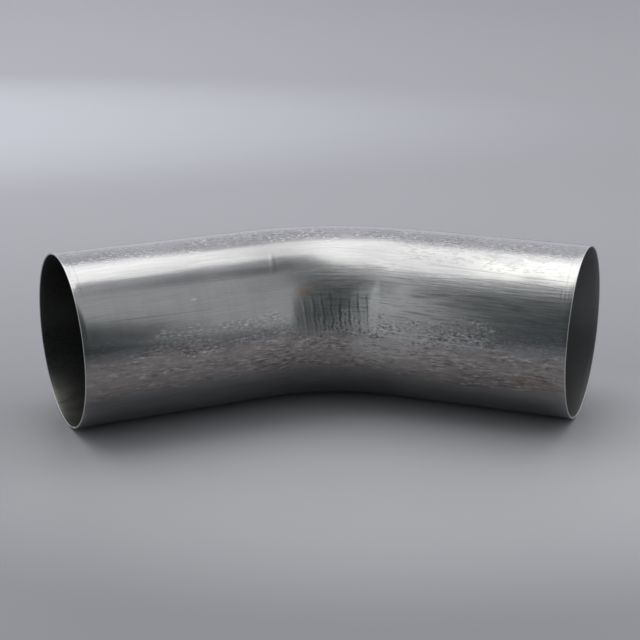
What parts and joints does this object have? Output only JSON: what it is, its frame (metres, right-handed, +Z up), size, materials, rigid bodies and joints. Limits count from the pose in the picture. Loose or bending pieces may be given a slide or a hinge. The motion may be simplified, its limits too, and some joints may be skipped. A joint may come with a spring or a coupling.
{
  "type": "flue elbow",
  "caption": "Plain 45 degree flue elbow bent from thin-wall seam-welded steel tube, with a straight leg and a square-cut open end on each side.",
  "frame": {"origin": "on the resting surface, under the middle of the bounding box; the elbow lies flat on its side", "axes": "+X along the elbow's length, from the longer leg's end to the shorter leg's end; +Y towards the outside of the bend; +Z up, square to the plane of the bend"},
  "size_m": [0.426, 0.1906, 0.127],
  "materials": {
    "coated_steel": "bare zinc or aluminium coated steel sheet, drawn along its length, semi-bright with dull mottled bands, fine scratches and bending marks",
    "weld_metal": "dull rippled weld bead"
  },
  "bodies": {
    "root": {"tube_shell": "coated_steel", "seam_weld": "weld_metal"}
  },
  "joints": []
}
